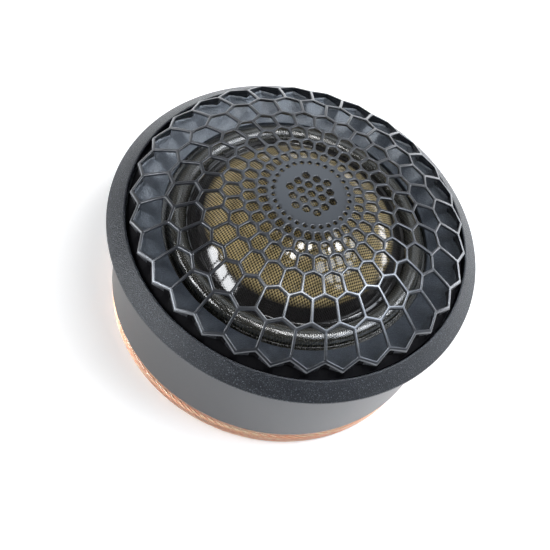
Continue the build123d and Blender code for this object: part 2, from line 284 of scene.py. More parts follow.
lampSet = {
    # name: degrees round, degrees up, metres away, width, height, watts, colour
    "windowLeft": (-146, 25, 0.5, 0.36, 0.08, 1.4, (0.95, 0.97, 1.0)),
    "windowRight": (8, 51, 0.5, 0.4, 0.26, 1.7, (0.85, 0.91, 1.0)),
    "lampRight": (16, 56, 0.5, 0.07, 0.1, 0.4, (1.0, 1.0, 1.0)),
    "lampAbove": (-40, 79, 0.5, 0.2, 0.08, 0.9, (1.0, 1.0, 1.0)),
    "windowBack": (97, 50, 0.6, 0.3, 0.3, 0.28, (0.85, 0.93, 1.0)),
    "wallRight": (35, 4, 0.7, 0.4, 0.1, 0.9, (0.95, 0.96, 1.0)),
    "wallLeft": (-168, 4, 0.7, 0.25, 0.15, 1.2, (1.0, 0.98, 0.95)),
    "wallFront": (-115, 3, 0.7, 0.4, 0.1, 0.3, (1.0, 0.97, 0.92)),
}
roomSet = {
    "floorHalf": 3.0,  # metres from the middle to the floor's edge
    "floorDrop": 0.05 * mm,
    "floorTone": 0.94,
    "floorRoughness": 0.9,
    "floorGlow": 0.36,  # added to the floor only where it is seen, to make it white
    "glowRise": (0.2, 0.5),  # metres out, where the lamps leave the floor dim and its glow grows to 1
    "horizon": 0.4,
    "overhead": 0.03,
    "frontShade": 0.7,  # how far the dim part of the room comes down in front
    "shadeRange": (-0.2, 0.6),  # heights between which the room turns dim
    "lowBand": 0.03,  # height up to which metal and glass show a white room
}


def makeLamp(name, side, up, distance, width, height, power, tint):
    data = bpy.data.lights.new(name, "AREA")
    data.shape = "RECTANGLE"
    data.size = width
    data.size_y = height
    data.energy = power
    data.color = tint
    lamp = bpy.data.objects.new(name, data)
    bpy.context.collection.objects.link(lamp)
    turnBy, rise = math.radians(side), math.radians(up)
    away = Vector((math.cos(turnBy) * math.cos(rise), math.sin(turnBy) * math.cos(rise), math.sin(rise)))
    lamp.location = away * distance + Vector((0, 0, flangeTop))
    lamp.rotation_mode = "QUATERNION"
    lamp.rotation_quaternion = away.to_track_quat("Z", "Y")


def raysOf(holder, *kinds):
    # 1 for a ray of one of these kinds, and 0 for any other
    rays = addNode(holder, "ShaderNodeLightPath")
    found = rays.outputs[kinds[0]]
    for kind in kinds[1:]:
        found = maths(holder, "MAXIMUM", found, rays.outputs[kind])
    return found


def makeFloor(values):
    mesh = bpy.data.meshes.new("floor")
    half = values["floorHalf"]
    corners = [(-half, -half, 0), (half, -half, 0), (half, half, 0), (-half, half, 0)]
    mesh.from_pydata(corners, [], [(0, 1, 2, 3)])
    floor = bpy.data.objects.new("floor", mesh)
    floor.location.z = -values["floorDrop"]
    bpy.context.collection.objects.link(floor)
    tone, rough = values["floorTone"], values["floorRoughness"]
    sheet = makeFinish("whiteTable", (tone, tone, tone), rough, Emission_Color=(1, 1, 1, 1))
    seen = raysOf(sheet, "Is Camera Ray", "Is Glossy Ray", "Is Transmission Ray")
    reach = addNode(sheet, "ShaderNodeVectorMath", [(0, place(sheet))], operation="LENGTH").outputs["Value"]
    glow = spread(sheet, reach, *values["glowRise"], values["floorGlow"], 1.0)
    wire(sheet, maths(sheet, "MULTIPLY", seen, glow), "Emission Strength")
    mesh.materials.append(sheet)


def makeRoom(values):
    # the room is white low down, and dim overhead and in front
    world = bpy.data.worlds.new("room")
    world.use_nodes = True
    sky = world.node_tree.nodes["Background"]
    sky.inputs["Color"].default_value = (1, 1, 1, 1)
    way = addNode(world, "ShaderNodeTexCoord").outputs["Generated"]
    slope = (0, -values["frontShade"], 1)
    lean = addNode(world, "ShaderNodeVectorMath", [(0, way), (1, slope)], operation="DOT_PRODUCT")
    level = spread(world, lean.outputs["Value"], *values["shadeRange"], values["horizon"], values["overhead"])
    level.node.interpolation_type = "SMOOTHSTEP"
    # seen directly it is white, and so is what metal and glass show of it low down
    height = addNode(world, "ShaderNodeSeparateXYZ", [(0, way)]).outputs[2]
    low = spread(world, height, 0.0, values["lowBand"], 1.0, 0.0)
    mirrored = maths(world, "MULTIPLY", raysOf(world, "Is Glossy Ray", "Is Transmission Ray"), low)
    shown = maths(world, "MAXIMUM", raysOf(world, "Is Camera Ray"), mirrored)
    strength = maths(world, "MAXIMUM", level, shown)
    world.node_tree.links.new(strength, sky.inputs["Strength"])
    bpy.context.scene.world = world


makeCamera(cameraSet)
makeFloor(roomSet)
makeRoom(roomSet)
for lampName, lampValues in lampSet.items():
    makeLamp(lampName, *lampValues)
bpy.context.scene.view_settings.view_transform = "Standard"
print("camera and light made")


# mounting cup

cupSet = {
    "groove": 0.25 * mm,  # between the insert and the opening
    "throatStep": 0.5 * mm,  # from the opening in to the barrel's side
    "wall": 1.35 * mm,
    "lipReach": 0.8 * mm,
    "lipThickness": 1.0 * mm,
    "ledgeDrop": 1.75 * mm,
    "bevelDrop": 2.35 * mm,
    "rimEdge": 0.4 * mm,
    "edgeFillet": 0.12 * mm,
    "throatFillet": 0.2 * mm,
    "rimFillet": 0.15 * mm,
    "segments": 240,
    "flangeColour": (0.002, 0.003, 0.006),
    # painted glints: lighter flecks stand in for the sparkle of the spark-eroded grain
    "glintColour": (0.085, 0.095, 0.115),
    "glintSize": 0.14 * mm,
    "paintedGlints": (0.6, 0.67),  # noise between which the painted glints fade in
    "barrelColour": (0.036, 0.036, 0.038),
    "roughness": 0.3,
    "sparkGrain": 0.14 * mm,
    "sparkDepth": 0.1 * mm,
    "satinGrain": 0.05 * mm,
    "satinDepth": 0.002 * mm,
    "shine": 0.6,
    "flangeCoat": 0.06,
    "barrelCoat": 0.12,
    "tint": (0.9, 0.95, 1.0),
    "change": (-0.15 * mm, 0.05 * mm),  # heights about the flange's foot where the finish changes
}


def makeCup(values):
    # the same section as the cup's, with its moulded edges eased
    r = cup[1].x
    opening = insertRadius + values["groove"]
    barrel = opening - values["throatStep"]
    bore = barrel - values["wall"]
    lip = bore - values["lipReach"]
    ledge = flangeTop - values["ledgeDrop"]
    lipFoot = ledge - values["lipThickness"]
    edgeTop = flangeTop - values["bevelDrop"]
    edgeFoot = edgeTop - values["rimEdge"]
    ease, rim = values["edgeFillet"], values["rimFillet"]
    outline = rounded([
        (bore, cup[0].z, ease),
        (barrel, cup[0].z, ease),
        (barrel, edgeFoot, ease),
        (r, edgeFoot, rim),
        (r, edgeTop, rim),
        (opening, flangeTop, values["throatFillet"]),
        (opening, ledge, ease),
        (lip, ledge, ease),
        (lip, lipFoot, ease),
        (bore, lipFoot, ease),
    ])
    piece = makePiece("cupMoulding", *turn(outline, values["segments"]), "frame")
    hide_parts("mounting_cup")


def cupFinish(values):
    finish = makeFinish(
        "sparkErodedPlastic",
        values["flangeColour"],
        values["roughness"],
        Specular_IOR_Level=values["shine"],
        Specular_Tint=(*values["tint"], 1),
        Coat_Roughness=values["roughness"],
    )
    foot = flangeTop - values["bevelDrop"] - values["rimEdge"]
    onFlange = spread(finish, heightOf(finish), *(foot + reach for reach in values["change"]))
    smooth = addBump(finish, grain(finish, values["satinGrain"], 1), values["satinDepth"])
    sparks = maths(finish, "MULTIPLY", grain(finish, values["sparkGrain"], 3), onFlange)
    addBump(finish, sparks, values["sparkDepth"], under=smooth)
    # painted glints: lighter flecks mixed into the flange's colour
    paintedGlints = spread(finish, grain(finish, values["glintSize"], 2), *values["paintedGlints"])
    flange = blendColours(finish, paintedGlints, values["flangeColour"], values["glintColour"])
    wire(finish, blendColours(finish, onFlange, values["barrelColour"], flange), "Base Color")
    coats = spread(finish, onFlange, 0, 1, values["barrelCoat"], values["flangeCoat"])
    wire(finish, coats, "Coat Weight")
    return finish


makeCup(cupSet)
dress("cupMoulding", cupFinish(cupSet))
print("cup made")


# grille

grilleSet = {
    "crownRadius": 69.1 * mm,
    "kneeWidth": 13.2 * mm,  # from the edge in to the crown
    "edgeSlope": 41.8,  # degrees
    "thickness": 0.5 * mm,
    "rib": 0.36 * mm,
    "growth": 1.266,  # of each row over the row inside it
    "apexRatio": 1.056,
    "cells": 30,
    "rows": 6,
    "pinhole": 0.27 * mm,
    "edgeRound": 0.11 * mm,
    "undersideRound": 0.05 * mm,
    "pointLean": 22.0,  # degrees of the pointed ribs off the way round
    "skirtTurn": 0.3 * mm,  # depth where the skirt goes straight down
    "skirtFoot": 0.08 * mm,
    "patchPitch": 1.45 * mm,
    "patchCell": 0.5 * mm,
    "patchSquareness": 9,
    # how square each row's cells are, outermost first: 2 is round, 60 is sharp
    "squareness": (60, 40, 22, 12, 7, 5),
    "colour": (0.014, 0.015, 0.018),
    "shadeColour": (0.002, 0.002, 0.003),  # painted shade: near black on the skirt's face and the ring's rim in the gap
    "shadeRoughness": 0.7,
    "shadeShine": 0.1,
    "shadeDepth": 0.62 * mm,
    "roughness": 0.28,
    "shine": 1.0,
    "coat": 1.0,
    "coatIndex": 1.6,
    "tint": (0.8, 0.88, 1.0),
}
crownEdge = insertRadius - grilleSet["kneeWidth"]
crownAngle = math.asin(crownEdge / grilleSet["crownRadius"])
edgeAngle = math.radians(grilleSet["edgeSlope"])
kneeRadius = grilleSet["kneeWidth"] / (math.sin(edgeAngle) - math.sin(crownAngle))
kneeX = (grilleSet["crownRadius"] - kneeRadius) * math.sin(crownAngle)
crownZ = cover[1].z - grilleSet["crownRadius"]
kneeZ = crownZ + (grilleSet["crownRadius"] - kneeRadius) * math.cos(crownAngle)


def faceHeight(radius):
    # height of the grille's face at a distance from the axis
    if radius <= crownEdge:
        return crownZ + math.sqrt(grilleSet["crownRadius"] ** 2 - radius**2)
    return kneeZ + math.sqrt(max(kneeRadius**2 - (radius - kneeX) ** 2, 0))


def arcAt(radius):
    if radius <= crownEdge:
        return grilleSet["crownRadius"] * math.asin(radius / grilleSet["crownRadius"])
    swing = math.asin((radius - kneeX) / kneeRadius)
    return grilleSet["crownRadius"] * crownAngle + kneeRadius * (swing - crownAngle)


def radiusAt(arc):
    if arc <= grilleSet["crownRadius"] * crownAngle:
        return grilleSet["crownRadius"] * math.sin(arc / grilleSet["crownRadius"])
    swing = crownAngle + (arc - grilleSet["crownRadius"] * crownAngle) / kneeRadius
    return kneeX + kneeRadius * math.sin(swing)


def polar(radius, degrees):
    a = math.radians(degrees)
    return Vector((radius * math.cos(a), radius * math.sin(a)))


def rowCorners(row, values):
    # a cell's six corners in plan, from its inner point round
    lean = math.cos(math.radians(values["pointLean"]))
    tip = arcAt(insertRadius - values["rib"] / 2 / lean)
    outer = tip / values["apexRatio"] / values["growth"] ** row
    inner = outer / values["growth"]
    step = 180 / values["cells"]
    return [
        polar(radiusAt(inner), 0),
        polar(radiusAt(inner * values["apexRatio"]), step),
        polar(radiusAt(outer), step),
        polar(radiusAt(outer * values["apexRatio"]), 0),
        polar(radiusAt(outer), -step),
        polar(radiusAt(inner * values["apexRatio"]), -step),
    ]


sideSteps = (0, 0.05, 0.14, 0.3, 0.5, 0.7, 0.86, 0.95)
easeSteps = (0, 22, 45, 67, 90)  # degrees round an eased edge


def alongSides(corners):
    # points along a closed outline, closer together near its corners
    return [a.lerp(b, t) for a, b in zip(corners, corners[1:] + corners[:1]) for t in sideSteps]


def inside(corners, loop, inset, squareness):
    # each point of the loop drawn in towards the middle, onto the rounded hole
    middle = sum(corners, Vector((0, 0))) / len(corners)
    walls = []
    for a, b in zip(corners, corners[1:] + corners[:1]):
        across = Vector(((b - a).y, (a - b).x)).normalized()
        away = across.dot(a - middle)
        if away < 0:
            across, away = -across, -away
        walls.append((across, away - inset))
    hole = []
    for point in loop:
        ray = (point - middle).normalized()
        pull = sum(max(ray.dot(across), 0) ** squareness / away**squareness for across, away in walls)
        hole.append(middle + ray * pull ** (-1 / squareness))
    return hole


def roundHole(middle, loop, radius):
    return [middle + (point - middle).normalized() * radius for point in loop]


def easedEdge(ease):
    # (in from the edge, depth under the face) over a quarter circle
    turns = [math.radians(degrees) for degrees in easeSteps]
    return [(ease * (1 - math.sin(a)), ease * (1 - math.cos(a))) for a in turns]


def bridge(levels, sides):
    # faces between loops of the same number of points; each level is (loop, depth under the face)
    points = []
    for loop, depth in levels:
        points += [(p.x, p.y, faceHeight(p.length) - depth) for p in loop]
    return points, gridFaces(len(levels), sides, False, True)


def cellLevels(loop, holeAt, values):
    # from the middle of the ribs over their rounded edge, down the hole's wall and back underneath
    soft, deep = values["undersideRound"], values["thickness"]
    over = [(holeAt(-inset), depth) for inset, depth in easedEdge(values["edgeRound"])]
    return [(loop, 0), *over, (holeAt(0), deep - soft), (holeAt(-soft), deep), (loop, deep)]


def skirt(corners, values):
    # the pointed edge over one outer cell: over the edge, down outside, and up inside
    ribHalf, foot, deep = values["rib"] / 2, values["skirtFoot"], values["thickness"]
    a, tip, b = corners[4], corners[3], corners[2]
    line = [a.lerp(tip, t) for t in sideSteps] + [tip.lerp(b, t) for t in sideSteps] + [b]
    across = []
    for i, point in enumerate(line):
        run = tip - a if i < len(sideSteps) else b - tip
        side = Vector((run.y, -run.x)).normalized()
        if i in (0, len(sideSteps), len(line) - 1):
            outward = point.normalized()
            side = outward / outward.dot(side)
        across.append(side)
    upper = [(0, 0), *((ribHalf - inset, depth) for inset, depth in easedEdge(values["edgeRound"]))]
    upper.append((ribHalf, values["skirtTurn"]))
    lower = [(ribHalf, rimTop + foot), (ribHalf - foot, rimTop)]
    lower += [(foot - ribHalf, rimTop), (-ribHalf, rimTop + foot)]
    path = [(out, depth, False) for out, depth in upper] + [(out, height, True) for out, height in lower]
    path += [(-ribHalf, deep, False), (0, deep, False)]
    points = []
    for out, level, isHeight in path:
        for point, side in zip(line, across):
            p = point + side * out
            points.append((p.x, p.y, level if isHeight else faceHeight(p.length) - level))
    return points, gridFaces(len(path), len(line), False, False)


def spotKey(spot):
    return tuple(round(v / mm, 3) for v in spot)


def freeEdges(rims):
    # the edges of the loops that no other loop shares
    found = {}
    for loop in rims:
        for a, b in zip(loop, loop[1:] + loop[:1]):
            found.setdefault(frozenset((spotKey(a), spotKey(b))), []).append((a, b))
    return [pairs[0] for pairs in found.values() if len(pairs) == 1]


def innerEdges(corners, values):
    # the inner edge of the innermost row, all the way round
    edges = []
    step = 360 / values["cells"]
    for i in range(values["cells"]):
        turnBy = Matrix.Rotation(math.radians(step * (i + values["rows"] % 2 / 2)), 2)
        edge = [corners[5].lerp(corners[0], t) for t in sideSteps]
        edge += [corners[0].lerp(corners[1], t) for t in sideSteps] + [corners[1]]
        edge = [turnBy @ p for p in edge]
        edges += list(zip(edge, edge[1:]))
    return edges


def patch(corners, values):
    # the middle of the crown: small cells in a plain disc
    pitch, width = values["patchPitch"], values["patchCell"]
    side = pitch / math.sqrt(3)
    middles = [Vector((0, 0))] + [polar(pitch, 60 * i) for i in range(6)]
    middles += [polar(2 * pitch, 60 * i) for i in range(6)]
    middles += [polar(math.sqrt(3) * pitch, 60 * i + 30) for i in range(6)]
    parts, rims = [], []
    for middle in middles:
        hexagon = [middle + polar(side, 60 * i + 30) for i in range(6)]
        loop = alongSides(hexagon)

        def holeAt(grow):
            return inside(hexagon, loop, pitch / 2 - width + grow, values["patchSquareness"])

        parts.append(bridge(cellLevels(loop, holeAt, values), len(loop)))
        rims.append(loop)
    # the band between the small cells and the innermost row
    flat, edges, index = [], [], {}
    for pair in innerEdges(corners, values) + freeEdges(rims):
        for p in pair:
            if spotKey(p) not in index:
                index[spotKey(p)] = len(flat)
                flat.append(p)
        edges.append(tuple(index[spotKey(p)] for p in pair))
    insideOnly, nearness = 1, 1e-7
    filled = geometry.delaunay_2d_cdt(flat, edges, [], insideOnly, nearness)
    spots, triangles = filled[0], filled[2]

    def inCell(spot, middle):
        return max((spot - middle).dot(polar(1, 60 * i)) for i in range(6)) < pitch / 2

    keep = []
    for triangle in triangles:
        centre = sum((spots[v] for v in triangle), Vector((0, 0))) / 3
        if not any(inCell(centre, middle) for middle in middles):
            keep.append(triangle)
    for depth in (0, values["thickness"]):
        parts.append(([(p.x, p.y, faceHeight(p.length) - depth) for p in spots], keep))
    return parts


def makeGrille(values):
    parts = []
    for row in range(values["rows"] + 1):
        corners = rowCorners(row, values)
        loop = alongSides(corners)
        middle = sum(corners, Vector((0, 0))) / 6

        def holeAt(grow):
            if row == values["rows"]:
                return roundHole(middle, loop, values["pinhole"] - grow)
            return inside(corners, loop, values["rib"] / 2 + grow, values["squareness"][row])

        cell = bridge(cellLevels(loop, holeAt, values), len(loop))
        parts.append(copyRound(*cell, values["cells"], 180 / values["cells"] * (row % 2)))
        if row == 0:
            parts.append(copyRound(*skirt(corners, values), values["cells"]))
    parts += patch(corners, values)
    piece = makePiece("honeycombGrille", *joinParts(parts), "frame")
    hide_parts("grille")


def paintShadeBelow(name, material, isLow):
    # a second finish, of painted shade, for the faces down in the gap
    mesh = bpy.data.objects[name].data
    mesh.materials.append(material)
    for face in mesh.polygons:
        if isLow(face.center, face.normal):
            face.material_index = 1


# faces on the skirt's outer side, deeper than shadeDepth under the face, get painted shade
def inGap(centre, normal):
    radius = math.hypot(centre.x, centre.y)
    outward = centre.x * normal.x + centre.y * normal.y > 0
    return radius > crownEdge and outward and centre.z < faceHeight(radius) - grilleSet["shadeDepth"]


def grilleFinish(values):
    finish = satinFinish("satinGrille", values["colour"], values["roughness"])
    polish(finish, values)
    return finish


def makePaintedGapShade(values):
    # painted shade: a near-black finish that stands in for the shadow in the gap
    finish = makeFinish("paintedGapShade", values["shadeColour"], values["shadeRoughness"])
    shaderOf(finish).inputs["Specular IOR Level"].default_value = values["shadeShine"]
    return finish


makeGrille(grilleSet)
dress("honeycombGrille", grilleFinish(grilleSet))
paintedGapShade = makePaintedGapShade(grilleSet)
paintShadeBelow("honeycombGrille", paintedGapShade, inGap)
print("grille made")


# waveguide

guideSet = {
    "innerMargin": 0.75 * mm,  # from the surround's clamped edge in to the ring's lip
    "lip": 0.7 * mm,
    "lipRound": 0.2 * mm,
    "skirtInset": 0.27 * mm,  # from the middle of the pointed ribs to the skirt's inner face
    "rimDrop": 1.3 * mm,  # of the rim's outer edge, down in the gap
    "steady": 0.74,  # share of the climb that is even, the rest comes at the outer end
    "lateness": 6,  # how near the outer end
    "ridge": 0.2 * mm,
    "ridgeForm": (1.4, 1.5),  # how far out and how narrow its crest is
    "rimRound": 0.1 * mm,
    "lipSteps": 4,
    "rimSteps": 3,
    "columns": 10,  # per half cell
    "levels": 16,
    "colour": (0.016, 0.02, 0.028),
    # painted glints: lighter flecks stand in for the sparkle of the grained plastic
    "glintColour": (0.06, 0.07, 0.088),
    "glintSize": 0.14 * mm,
    "roughness": 0.36,
    "grain": 0.2 * mm,
    "grainDepth": 0.09 * mm,
    "paintedGlints": (0.46, 0.7),
    "shine": 1.0,
    "tint": (0.8, 0.9, 1.0),
    "coat": 0.45,
    "coatIndex": 1.5,
}


def guideColumn(end, share, values):
    # the ring's section at one place: under, up the lip, along the bowl, over the rim and down
    degrees = math.degrees(math.atan2(end.y, end.x))
    lipRadius = rollBox[1].x - values["innerMargin"]
    lipTop = guide[0].z + values["lip"]
    ledge = flangeTop - cupSet["ledgeDrop"]
    ease, edge = values["lipRound"], values["rimRound"]
    section = [(chassis[1].x, guide[0].z), (lipRadius, guide[0].z)]
    for k in range(values["lipSteps"] + 1):
        t = math.radians(90 * k / values["lipSteps"])
        section.append((lipRadius + ease * (1 - math.cos(t)), lipTop - ease * (1 - math.sin(t))))
    start, climb = lipRadius + ease, guide[1].z - lipTop
    between = 0.5 - 0.5 * math.cos(math.pi * share)
    skew, power = values["ridgeForm"]
    for k in range(1, values["levels"] + 1):
        t = k / values["levels"]
        rise = values["steady"] * t + (1 - values["steady"]) * t ** values["lateness"]
        ridge = values["ridge"] * between * math.sin(math.pi * t**skew) ** power
        section.append((start + (end.length - start) * t, lipTop + climb * rise + ridge))
    rimFoot = guide[1].z - values["rimDrop"]
    section.append((end.length + edge, guide[1].z))
    for k in range(values["rimSteps"] + 1):
        t = math.radians(90 * k / values["rimSteps"])
        section.append((insertRadius - edge * (1 - math.sin(t)), rimFoot - edge * (1 - math.cos(t))))
    section += [(insertRadius, ledge), (chassis[1].x, ledge)]
    return [(*polar(r, degrees), z) for r, z in section]


def makeGuide(values):
    corners = rowCorners(0, grilleSet)
    run = corners[3] - corners[4]
    inward = Vector((-run.y, run.x)).normalized()
    if inward.dot(corners[3]) > 0:
        inward = -inward
    ends = []
    for corner in (corners[4], corners[3]):
        out = corner.normalized()
        ends.append(corner + out * values["skirtInset"] / out.dot(inward))
    half = values["columns"]
    columns = []
    for cell in range(grilleSet["cells"]):
        turnBy = Matrix.Rotation(2 * math.pi * cell / grilleSet["cells"], 2)
        for k in range(2 * half):
            share = abs(k - half) / half
            end = ends[1].lerp(ends[0], share)
            if k > half:
                end = Vector((end.x, -end.y))
            columns.append(guideColumn(turnBy @ end, share, values))
    points = [point for column in columns for point in column]
    faces = gridFaces(len(columns), len(columns[0]), True, True)
    piece = makePiece("scoopedRing", points, faces, "frame", smoothAngle=50)
    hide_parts("waveguide")


def isOutside(centre):
    # beyond the grille's skirt
    corners = rowCorners(0, grilleSet)
    step = math.radians(360 / grilleSet["cells"])
    swing = abs((math.atan2(centre.y, centre.x) + step / 2) % step - step / 2) / (step / 2)
    edge = corners[3].length + (corners[2].length - corners[3].length) * swing
    return math.hypot(centre.x, centre.y) > edge - guideSet["skirtInset"]


def guideFinish(values):
    finish = makeFinish("grainedGuide", values["colour"], values["roughness"])
    polish(finish, values)
    addBump(finish, grain(finish, values["grain"], 3), values["grainDepth"])
    # painted glints: lighter flecks mixed into the ring's colour
    paintedGlints = spread(finish, grain(finish, values["glintSize"], 2), *values["paintedGlints"])
    wire(finish, blendColours(finish, paintedGlints, values["colour"], values["glintColour"]), "Base Color")
    return finish


makeGuide(guideSet)
dress("scoopedRing", guideFinish(guideSet))
# the ring's rim beyond the skirt gets the same painted shade
paintShadeBelow("scoopedRing", paintedGapShade, lambda centre, normal: isOutside(centre))
print("waveguide made")


# dome and surround

clothSet = {
    "pitch": 0.22 * mm,
    "threadDepth": 0.05 * mm,
    "thickness": 0.25 * mm,
    "shine": 0.2,
}
domeSet = {
    "thread": (0.45, 0.35, 0.16),
    "ground": (0.03, 0.022, 0.012),  # between the threads that lie on top
    "roughness": 0.55,
    "lacquer": 1.6,  # the coating's index: higher mirrors more
    "lacquerRoughness": 0.06,
    "lacquerDepth": 0.0015 * mm,
    "edgeShade": (0.004, 0.003, 0.003),  # painted shade, towards the dome's foot
    "shadeRange": (1.7 * mm, 2.5 * mm),  # heights over the glue land
    "land": 0.55 * mm,  # width of the flat ring round the cap
    "bead": 0.07 * mm,  # radius of the glue bead round the cap
    "beadTurns": (0.8, 1.6, 2.4),  # where round the bead its points are, in radians
    "segments": 180,
    "steps": (40, 20),  # of the cap's arc, outside and inside
}
rollSet = {
    "thread": (0.035, 0.033, 0.021),
    "ground": (0.0015, 0.0015, 0.0015),
    "roughness": 0.45,
    "lacquer": 2.1,
    "lacquerRoughness": 0.09,
    "lacquerDepth": 0.012 * mm,
    "clamped": 1.5 * mm,  # width of the flat edge on the chassis
    "lap": 0.8 * mm,  # over the dome's flat ring
    "segments": 240,
    "steps": (24, 16),
}


def weave(finish, pitch):
    # height of a plain weave, and where its warp lies on top
    axes = addNode(finish, "ShaderNodeSeparateXYZ", [(0, place(finish))])
    u = maths(finish, "DIVIDE", axes.outputs[0], pitch)
    v = maths(finish, "DIVIDE", axes.outputs[1], pitch)

    def thread(across):
        return maths(finish, "ABSOLUTE", maths(finish, "SINE", maths(finish, "MULTIPLY", across, math.pi)))

    def raised(upper, lower):
        return maths(finish, "MULTIPLY", upper, maths(finish, "MULTIPLY_ADD", lower, 0.5, 0.5))

    warp, weft = thread(u), thread(v)
    cells = maths(finish, "ADD", maths(finish, "FLOOR", u), maths(finish, "FLOOR", v))
    over = maths(finish, "FLOORED_MODULO", cells, 2)
    wires = [(0, over), (2, raised(weft, warp)), (3, raised(warp, weft))]
    return addNode(finish, "ShaderNodeMix", wires).outputs[0], over


def clothFinish(name, values):
    finish = makeFinish(name, values["thread"], values["roughness"], Coat_Weight=1.0)
    shaderOf(finish).inputs["Specular IOR Level"].default_value = clothSet["shine"]
    shaderOf(finish).inputs["Coat Roughness"].default_value = values["lacquerRoughness"]
    shaderOf(finish).inputs["Coat IOR"].default_value = values["lacquer"]
    height, over = weave(finish, clothSet["pitch"])
    colour = blendColours(finish, over, values["ground"], values["thread"])
    # painted shade: the colour turns near black towards the dome's foot
    if "edgeShade" in values:
        clear = spread(finish, heightOf(finish), *(capBox[0].z + up for up in values["shadeRange"]))
        colour = blendColours(finish, clear, values["edgeShade"], colour)
    wire(finish, colour, "Base Color")
    addBump(finish, height, clothSet["threadDepth"])
    addBump(finish, height, values["lacquerDepth"], socket="Coat Normal")
    return finish


def capArc(radius, centre, halfAngle, steps):
    # (radius, height) points of a cap, from the axis outwards
    turns = [halfAngle * k / steps for k in range(steps + 1)]
    return [(radius * math.sin(a), centre + radius * math.cos(a)) for a in turns]


def makeDome(values):
    skin = clothSet["thickness"]
    landRadius = capBox[1].x
    edge = landRadius - values["land"]
    height = capBox[1].z - capBox[0].z - skin
    outside = (edge**2 + height**2) / (2 * height)
    centre = capBox[1].z - outside
    top = capArc(outside, centre, math.asin(edge / outside), values["steps"][0])
    thin = outside - skin
    under = capArc(thin, centre, math.acos((capBox[0].z - centre) / thin), values["steps"][1])
    # a bead of glue where the cap meets its flat ring
    bead, land = values["bead"], capBox[0].z + skin
    turns = values["beadTurns"]
    ring = [(edge + bead - bead * math.cos(a), land + bead * math.sin(a)) for a in turns]
    outline = top + ring + [(landRadius, land), (landRadius, capBox[0].z)] + under[::-1]
    piece = makePiece("silkDome", *turn(outline, values["segments"], False), "diaphragm")
    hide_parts("dome")


def bow(a, b, c, steps):
    # points of the arc through three places, clockwise
    d = 2 * (a[0] * (b[1] - c[1]) + b[0] * (c[1] - a[1]) + c[0] * (a[1] - b[1]))
    sa, sb, sc = (p[0] ** 2 + p[1] ** 2 for p in (a, b, c))
    x = (sa * (b[1] - c[1]) + sb * (c[1] - a[1]) + sc * (a[1] - b[1])) / d
    y = (sa * (c[0] - b[0]) + sb * (a[0] - c[0]) + sc * (b[0] - a[0])) / d
    radius = math.hypot(a[0] - x, a[1] - y)
    start = math.atan2(a[1] - y, a[0] - x)
    end = math.atan2(c[1] - y, c[0] - x)
    if end > start:
        end -= 2 * math.pi
    turns = [start + (end - start) * k / steps for k in range(steps + 1)]
    return [(x + radius * math.cos(t), y + radius * math.sin(t)) for t in turns]


def makeSurround(values):
    skin = clothSet["thickness"]
    outer, crest = rollBox[1].x, rollBox[1].z
    foot, landTop = rollBox[0].z + skin, capBox[0].z
    land = capBox[1].x
    rollOut = outer - values["clamped"]
    inner = land - values["lap"]
    middle = (land + rollOut) / 2
    topSteps, underSteps = values["steps"]
    top = bow((land, landTop), (middle, crest), (rollOut, foot), topSteps)
    footIn = (rollOut - skin, foot - skin)
    under = bow((land + skin, landTop - skin), (middle, crest - skin), footIn, underSteps)
    outline = [(inner, landTop)] + top + [(outer, foot), (outer, foot - skin)] + under[::-1]
    outline.append((inner, landTop - skin))
    piece = makePiece("halfRoll", *turn(outline, values["segments"]), None)
    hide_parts("surround")
    # every point is moved round to the same side, the piece's transform is baked in, and then the points go
    # back
    points = piece.data.vertices
    spots = [point.co.copy() for point in points]
    for point in points:
        point.co = (math.hypot(point.co.x, point.co.y), 0, point.co.z)
    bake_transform(piece)
    for point, spot in zip(points, spots):
        point.co = spot


makeDome(domeSet)
dress("silkDome", clothFinish("domeSilk", domeSet))
makeSurround(rollSet)
dress("halfRoll", clothFinish("surroundCloth", rollSet))
print("dome and surround made")


# lead

leadSet = {
    "copper": (1.0, 0.8, 0.6),
    "deepCopper": (0.95, 0.42, 0.26),
    "metal": 0.6,
    "roughness": 0.28,
    "streak": 0.2 * mm,
    "streaks": (0.38, 0.62),  # noise between which the deep colour gives way
    "streakTurn": 0.6 * mm,  # how fast the lines change round the winding
    "jacketColour": (1, 0.97, 0.9),
    "jacketRoughness": 0.04,
    "jacketClear": 0.95,
    "jacketIndex": 1.4,
    "core": 1.8 * mm,  # over one insulated core
    "coreTurns": (-70, 250, 16),  # degrees round its section: first, last, step
    "bundle": 0.46 * mm,  # radius of the strands' circle
    "strand": 0.2 * mm,  # radius of one strand
    "strandCount": 9,
    "twist": 11 * mm,  # length of one twist
    "start": 58.0,  # degrees round the tweeter
    "foot": -52.0,  # where it is down on the table
    "leave": -256.0,  # where it moves from the inner turn to the outer
    "join": -294.0,
    "end": -616.0,
    "turnGap": 0.1 * mm,
    "pointsPerTurn": 24,
    "step": 0.8 * mm,  # between the sections along it
}


def leadRoute(values):
    # even points round the winding, down to the table and later from the inner turn to the outer
    outer = coilBox[1].x - values["core"] / 2
    inner = outer - values["core"] - values["turnGap"]
    low = coilBox[0].z + values["core"]
    high = coilBox[1].z - values["core"]
    count = round((values["start"] - values["end"]) / 360 * values["pointsPerTurn"])
    points = []
    for k in range(count + 1):
        degrees = values["start"] + (values["end"] - values["start"]) * k / count
        down = min(max((values["start"] - degrees) / (values["start"] - values["foot"]), 0), 1)
        out = min(max((values["leave"] - degrees) / (values["leave"] - values["join"]), 0), 1)
        out = out * out * (3 - 2 * out)
        spot = polar(inner + (outer - inner) * out, degrees)
        points.append(Vector((spot.x, spot.y, high + (low - high) * down)))
    return points


